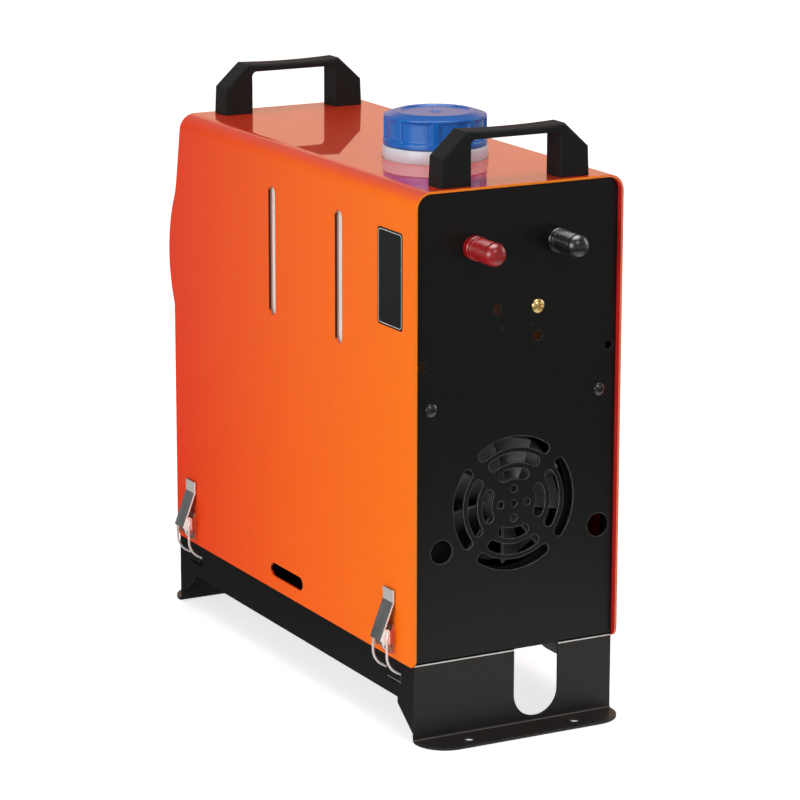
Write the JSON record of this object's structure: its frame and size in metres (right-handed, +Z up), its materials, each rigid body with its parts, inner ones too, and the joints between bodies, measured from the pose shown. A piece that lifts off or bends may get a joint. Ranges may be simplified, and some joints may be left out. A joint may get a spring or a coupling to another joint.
{
  "type": "portable diesel air heater",
  "caption": "Upright diesel air heater in a latched sheet-metal case with fan grille, battery terminals, fuel tank with screw cap, warm-air outlet, key panel and carrying handles.",
  "frame": {"origin": "on the floor, under the middle of the heater's overall box", "axes": "+X across the case to the right when facing the fan grille from the front, +Y from the grille end to the outlet end, +Z up"},
  "size_m": [0.165, 0.391, 0.3754],
  "materials": {
    "orange_paint": "gloss",
    "black_paint": "satin",
    "black_plastic": "satin",
    "stainless": "satin",
    "zinc_steel": "satin",
    "black_screw": "satin",
    "brass": "polished",
    "red_plastic": "gloss",
    "black_gloss_plastic": "gloss",
    "white_plastic": "satin",
    "blue_plastic": "gloss",
    "rubber": "matt",
    "fuel_hose": "matt",
    "nylon_line": "gloss",
    "cast_aluminium": "matt",
    "heat_steel": "matt",
    "gasket": "matt",
    "foil": "satin",
    "lens": "gloss",
    "board": "matt",
    "key_rubber": "matt"
  },
  "bodies": {
    "heater": {"base_tray": "black_paint", "front_panel": "black_paint", "rear_fascia": "black_paint", "cover": "orange_paint", "tank_shelf": "zinc_steel", "front_handle": "black_plastic", "rear_handle": "black_plastic", "handle_screws": "zinc_steel", "panel_screws": "black_screw", "earth_screw": "brass", "latch_bases": "stainless", "latch_pins": "stainless", "latch_rivets": "stainless", "red_terminal_collar": "red_plastic", "black_terminal_collar": "black_gloss_plastic", "terminal_studs": "brass", "fuel_tank": "white_plastic", "fuel_pump": "zinc_steel", "pump_saddle": "rubber", "suction_hose": "fuel_hose", "delivery_line": "nylon_line", "heater_lower_shell": "black_plastic", "heater_upper_shell": "black_plastic", "blower_motor": "zinc_steel", "impeller_housing": "cast_aluminium", "heat_exchanger": "cast_aluminium", "burner": "heat_steel", "glow_plug": "heat_steel", "foot_gasket": "gasket", "foot_screws": "zinc_steel", "pipe_stubs": "heat_steel", "outlet_duct": "foil", "outlet_ring": "black_plastic", "outlet_screws": "black_screw", "controller_case": "black_plastic", "display_lens": "lens", "display_board": "board"},
    "lever_fl": {"latch_lever_fl": "stainless"},
    "bail_fl": {"latch_bail_fl": "stainless"},
    "lever_fr": {"latch_lever_fr": "stainless"},
    "bail_fr": {"latch_bail_fr": "stainless"},
    "lever_rl": {"latch_lever_rl": "stainless"},
    "bail_rl": {"latch_bail_rl": "stainless"},
    "lever_rr": {"latch_lever_rr": "stainless"},
    "bail_rr": {"latch_bail_rr": "stainless"},
    "cap_seal": {"cap_seal": "rubber"},
    "filler_cap": {"filler_cap": "blue_plastic"},
    "red_terminal_washer": {"red_terminal_washer": "brass"},
    "red_terminal_cap": {"red_terminal_cap": "red_plastic"},
    "black_terminal_washer": {"black_terminal_washer": "brass"},
    "black_terminal_cap": {"black_terminal_cap": "black_gloss_plastic"},
    "fan_rotor": {"motor_shaft": "stainless", "fan_wheel": "black_plastic", "air_impeller": "black_plastic"},
    "louvre": {"outlet_louvre": "black_plastic"},
    "key_upper_left": {"key_upper_left": "key_rubber"},
    "key_upper_right": {"key_upper_right": "key_rubber"},
    "key_lower_left": {"key_lower_left": "key_rubber"},
    "key_lower_right": {"key_lower_right": "key_rubber"}
  },
  "joints": [
    {"name": "lever_fl_open", "type": "hinge", "parent": "heater", "child": "lever_fl", "pos_m": [-0.078, -0.13795, 0.058], "axis": [0, -1, 0], "range_deg": [0, 110]},
    {"name": "bail_fl_swing", "type": "hinge", "parent": "lever_fl", "child": "bail_fl", "pos_m": [-0.078, -0.13795, 0.066], "axis": [0, -1, 0], "range_deg": [-78, 0]},
    {"name": "lever_fr_open", "type": "hinge", "parent": "heater", "child": "lever_fr", "pos_m": [0.078, -0.13795, 0.058], "axis": [0, 1, 0], "range_deg": [0, 110]},
    {"name": "bail_fr_swing", "type": "hinge", "parent": "lever_fr", "child": "bail_fr", "pos_m": [0.078, -0.13795, 0.066], "axis": [0, 1, 0], "range_deg": [-78, 0]},
    {"name": "lever_rl_open", "type": "hinge", "parent": "heater", "child": "lever_rl", "pos_m": [-0.078, 0.14805, 0.058], "axis": [0, -1, 0], "range_deg": [0, 110]},
    {"name": "bail_rl_swing", "type": "hinge", "parent": "lever_rl", "child": "bail_rl", "pos_m": [-0.078, 0.14805, 0.066], "axis": [0, -1, 0], "range_deg": [-78, 0]},
    {"name": "lever_rr_open", "type": "hinge", "parent": "heater", "child": "lever_rr", "pos_m": [0.078, 0.14805, 0.058], "axis": [0, 1, 0], "range_deg": [0, 110]},
    {"name": "bail_rr_swing", "type": "hinge", "parent": "lever_rr", "child": "bail_rr", "pos_m": [0.078, 0.14805, 0.066], "axis": [0, 1, 0], "range_deg": [-78, 0]},
    {"name": "filler_cap_rise", "type": "slide", "parent": "heater", "child": "cap_seal", "axis": [0, 0, 1], "range_m": [0, 0.015]},
    {"name": "filler_cap_turn", "type": "hinge", "parent": "cap_seal", "child": "filler_cap", "pos_m": [0, -0.06195, 0.36], "axis": [0, 0, 1], "range_deg": [0, 1080.6]},
    {"name": "red_terminal_travel", "type": "slide", "parent": "heater", "child": "red_terminal_washer", "axis": [0, -1, 0], "range_m": [0, 0.004]},
    {"name": "red_terminal_turn", "type": "hinge", "parent": "red_terminal_washer", "child": "red_terminal_cap", "pos_m": [-0.0301, -0.17495, 0.3054], "axis": [0, -1, 0], "range_deg": [0, 1441]},
    {"name": "black_terminal_travel", "type": "slide", "parent": "heater", "child": "black_terminal_washer", "axis": [0, -1, 0], "range_m": [0, 0.004]},
    {"name": "black_terminal_turn", "type": "hinge", "parent": "black_terminal_washer", "child": "black_terminal_cap", "pos_m": [0.0267, -0.17495, 0.3054], "axis": [0, -1, 0], "range_deg": [0, 1441]},
    {"name": "fan_spin", "type": "hinge", "parent": "heater", "child": "fan_rotor", "pos_m": [-0.001, -0.15095, 0.1435], "axis": [0, -1, 0], "continuous": true},
    {"name": "louvre_turn", "type": "hinge", "parent": "heater", "child": "louvre", "pos_m": [-0.001, 0.17105, 0.1435], "axis": [0, 1, 0], "continuous": true},
    {"name": "key_upper_left_press", "type": "slide", "parent": "heater", "child": "key_upper_left", "axis": [0, -0.9829, -0.184], "range_m": [0, 0.0008], "stiffness_N_per_m": 1200, "springref_m": -0.0003},
    {"name": "key_upper_right_press", "type": "slide", "parent": "heater", "child": "key_upper_right", "axis": [0, -0.9829, -0.184], "range_m": [0, 0.0008], "stiffness_N_per_m": 1200, "springref_m": -0.0003},
    {"name": "key_lower_left_press", "type": "slide", "parent": "heater", "child": "key_lower_left", "axis": [0, -0.9829, -0.184], "range_m": [0, 0.0008], "stiffness_N_per_m": 1200, "springref_m": -0.0003},
    {"name": "key_lower_right_press", "type": "slide", "parent": "heater", "child": "key_lower_right", "axis": [0, -0.9829, -0.184], "range_m": [0, 0.0008], "stiffness_N_per_m": 1200, "springref_m": -0.0003}
  ],
  "couplings": [
    {"joint": "bail_fl_swing", "follows": "lever_fl_open", "ratio": -0.7},
    {"joint": "bail_fr_swing", "follows": "lever_fr_open", "ratio": -0.7},
    {"joint": "bail_rl_swing", "follows": "lever_rl_open", "ratio": -0.7},
    {"joint": "bail_rr_swing", "follows": "lever_rr_open", "ratio": -0.7},
    {"joint": "filler_cap_turn", "follows": "filler_cap_rise", "rad_per_m": 1256.6},
    {"joint": "red_terminal_turn", "follows": "red_terminal_travel", "rad_per_m": 6283.2},
    {"joint": "black_terminal_turn", "follows": "black_terminal_travel", "rad_per_m": 6283.2}
  ]
}
